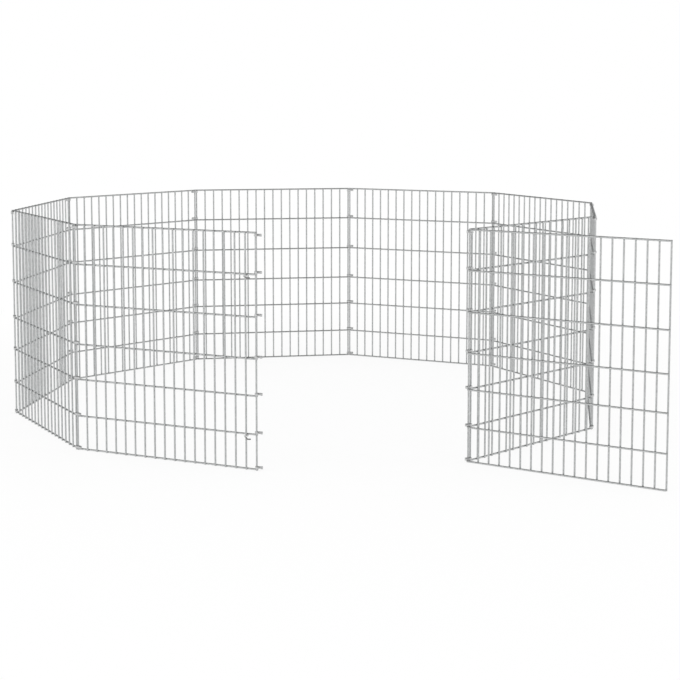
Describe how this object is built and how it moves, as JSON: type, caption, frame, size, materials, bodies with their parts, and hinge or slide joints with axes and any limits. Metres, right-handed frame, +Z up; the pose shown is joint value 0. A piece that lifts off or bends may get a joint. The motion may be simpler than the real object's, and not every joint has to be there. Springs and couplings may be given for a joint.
{
  "type": "folding wire animal pen",
  "caption": "Folding wire-grid pen for small animals: upright mesh panels hinged by loose rings into an open-topped ring, with a hook-latched door panel swung open.",
  "frame": {"origin": "centre of the footprint of the pen as it stands with its door open, on the floor", "axes": "+Z up; -Y is the side of the doorway, seen from outside; +X to the right when facing the doorway from outside"},
  "size_m": [1.7764, 2.068, 0.6022],
  "materials": {
    "galvanised_wire": "dull zinc-galvanised drawn wire",
    "ring_steel": "zinc-plated strip, slightly darker than the wire",
    "latch_steel": "zinc-plated bent wire, slightly darker than the rings"
  },
  "bodies": {
    "panel_5": {"panel_5": "galvanised_wire"},
    "panel_4": {"panel_4": "galvanised_wire"},
    "panel_3": {"panel_3": "galvanised_wire"},
    "panel_2": {"panel_2": "galvanised_wire"},
    "panel_1": {"panel_1": "galvanised_wire", "door_catch_1": "ring_steel", "door_catch_2": "ring_steel", "door_catch_3": "ring_steel", "door_catch_4": "ring_steel", "door_catch_5": "ring_steel", "door_catch_6": "ring_steel", "door_catch_7": "ring_steel"},
    "panel_6": {"panel_6": "galvanised_wire"},
    "panel_7": {"panel_7": "galvanised_wire"},
    "panel_8": {"panel_8": "galvanised_wire"},
    "panel_9": {"panel_9": "galvanised_wire", "door_hinge_ring_1": "ring_steel", "door_hinge_ring_2": "ring_steel", "door_hinge_ring_3": "ring_steel", "door_hinge_ring_4": "ring_steel", "door_hinge_ring_5": "ring_steel", "door_hinge_ring_6": "ring_steel", "door_hinge_ring_7": "ring_steel"},
    "fold_1_rings": {"fold_1_ring_1": "ring_steel", "fold_1_ring_3": "ring_steel", "fold_1_ring_5": "ring_steel", "fold_1_ring_7": "ring_steel"},
    "fold_2_rings": {"fold_2_ring_1": "ring_steel", "fold_2_ring_3": "ring_steel", "fold_2_ring_5": "ring_steel", "fold_2_ring_7": "ring_steel"},
    "fold_3_rings": {"fold_3_ring_1": "ring_steel", "fold_3_ring_3": "ring_steel", "fold_3_ring_5": "ring_steel", "fold_3_ring_7": "ring_steel"},
    "fold_4_rings": {"fold_4_ring_1": "ring_steel", "fold_4_ring_3": "ring_steel", "fold_4_ring_5": "ring_steel", "fold_4_ring_7": "ring_steel"},
    "fold_5_rings": {"fold_5_ring_1": "ring_steel", "fold_5_ring_3": "ring_steel", "fold_5_ring_5": "ring_steel", "fold_5_ring_7": "ring_steel"},
    "fold_6_rings": {"fold_6_ring_1": "ring_steel", "fold_6_ring_3": "ring_steel", "fold_6_ring_5": "ring_steel", "fold_6_ring_7": "ring_steel"},
    "fold_7_rings": {"fold_7_ring_1": "ring_steel", "fold_7_ring_3": "ring_steel", "fold_7_ring_5": "ring_steel", "fold_7_ring_7": "ring_steel"},
    "fold_8_rings": {"fold_8_ring_1": "ring_steel", "fold_8_ring_3": "ring_steel", "fold_8_ring_5": "ring_steel", "fold_8_ring_7": "ring_steel"},
    "door": {"door_panel": "galvanised_wire"},
    "upper_latch": {"upper_latch_hook": "latch_steel"},
    "lower_latch": {"lower_latch_hook": "latch_steel"}
  },
  "joints": [
    {"name": "fold_4", "type": "hinge", "parent": "panel_5", "child": "panel_4", "pos_m": [-0.27105, 1.02251, 0], "axis": [0, 0, 1], "range_deg": [0, 136]},
    {"name": "fold_3", "type": "hinge", "parent": "panel_4", "child": "panel_3", "pos_m": [-0.71788, 0.70988, 0], "axis": [0, 0, 1], "range_deg": [-204, 0]},
    {"name": "fold_2", "type": "hinge", "parent": "panel_3", "child": "panel_2", "pos_m": [-0.87713, 0.18832, 0], "axis": [0, 0, 1], "range_deg": [0, 136]},
    {"name": "fold_1", "type": "hinge", "parent": "panel_2", "child": "panel_1", "pos_m": [-0.71788, -0.33325, 0], "axis": [0, 0, 1], "range_deg": [-204, 0]},
    {"name": "fold_5", "type": "hinge", "parent": "panel_5", "child": "panel_6", "pos_m": [0.2742, 1.03223, 0], "axis": [0, 0, 1], "range_deg": [0, 204]},
    {"name": "fold_6", "type": "hinge", "parent": "panel_6", "child": "panel_7", "pos_m": [0.70961, 0.70388, 0], "axis": [0, 0, 1], "range_deg": [-136, 0]},
    {"name": "fold_7", "type": "hinge", "parent": "panel_7", "child": "panel_8", "pos_m": [0.88735, 0.18832, 0], "axis": [0, 0, 1], "range_deg": [0, 204]},
    {"name": "fold_8", "type": "hinge", "parent": "panel_8", "child": "panel_9", "pos_m": [0.70961, -0.32725, 0], "axis": [0, 0, 1], "range_deg": [-136, 0]},
    {"name": "ring_turn_4", "type": "hinge", "parent": "panel_5", "child": "fold_4_rings", "pos_m": [-0.27, 1.02981, 0], "axis": [0, 0, 1], "range_deg": [0, 68]},
    {"name": "ring_turn_3", "type": "hinge", "parent": "panel_4", "child": "fold_3_rings", "pos_m": [-0.71305, 0.7104, 0], "axis": [0, 0, 1], "range_deg": [-102, 0]},
    {"name": "ring_turn_2", "type": "hinge", "parent": "panel_3", "child": "fold_2_rings", "pos_m": [-0.88374, 0.19157, 0], "axis": [0, 0, 1], "range_deg": [0, 68]},
    {"name": "ring_turn_1", "type": "hinge", "parent": "panel_2", "child": "fold_1_rings", "pos_m": [-0.71687, -0.3285, 0], "axis": [0, 0, 1], "range_deg": [-102, 0]},
    {"name": "ring_turn_5", "type": "hinge", "parent": "panel_5", "child": "fold_5_rings", "pos_m": [0.27, 1.02981, 0], "axis": [0, 0, 1], "range_deg": [0, 102]},
    {"name": "ring_turn_6", "type": "hinge", "parent": "panel_6", "child": "fold_6_rings", "pos_m": [0.71305, 0.7104, 0], "axis": [0, 0, 1], "range_deg": [-68, 0]},
    {"name": "ring_turn_7", "type": "hinge", "parent": "panel_7", "child": "fold_7_rings", "pos_m": [0.88374, 0.19157, 0], "axis": [0, 0, 1], "range_deg": [0, 102]},
    {"name": "ring_turn_8", "type": "hinge", "parent": "panel_8", "child": "fold_8_rings", "pos_m": [0.71687, -0.3285, 0], "axis": [0, 0, 1], "range_deg": [-68, 0]},
    {"name": "door_swing", "type": "hinge", "parent": "panel_9", "child": "door", "pos_m": [0.27, -0.65317, 0], "axis": [0, 0, 1], "range_deg": [-136, 36]},
    {"name": "upper_latch_turn", "type": "hinge", "parent": "panel_1", "child": "upper_latch", "pos_m": [-0.30045, -0.63353, 0.49107], "axis": [0, 0, 1], "range_deg": [-100, 50]},
    {"name": "lower_latch_turn", "type": "hinge", "parent": "panel_1", "child": "lower_latch", "pos_m": [-0.30045, -0.63353, 0.08657], "axis": [0, 0, 1], "range_deg": [-100, 50]}
  ],
  "couplings": [
    {"joint": "fold_3", "follows": "fold_4", "ratio": -1.5},
    {"joint": "fold_2", "follows": "fold_4", "ratio": 1},
    {"joint": "fold_1", "follows": "fold_4", "ratio": -1.5},
    {"joint": "fold_5", "follows": "fold_4", "ratio": 1.5},
    {"joint": "fold_6", "follows": "fold_4", "ratio": -1},
    {"joint": "fold_7", "follows": "fold_4", "ratio": 1.5},
    {"joint": "fold_8", "follows": "fold_4", "ratio": -1},
    {"joint": "ring_turn_4", "follows": "fold_4", "ratio": 0.5},
    {"joint": "ring_turn_3", "follows": "fold_4", "ratio": -0.75},
    {"joint": "ring_turn_2", "follows": "fold_4", "ratio": 0.5},
    {"joint": "ring_turn_1", "follows": "fold_4", "ratio": -0.75},
    {"joint": "ring_turn_5", "follows": "fold_4", "ratio": 0.75},
    {"joint": "ring_turn_6", "follows": "fold_4", "ratio": -0.5},
    {"joint": "ring_turn_7", "follows": "fold_4", "ratio": 0.75},
    {"joint": "ring_turn_8", "follows": "fold_4", "ratio": -0.5}
  ]
}
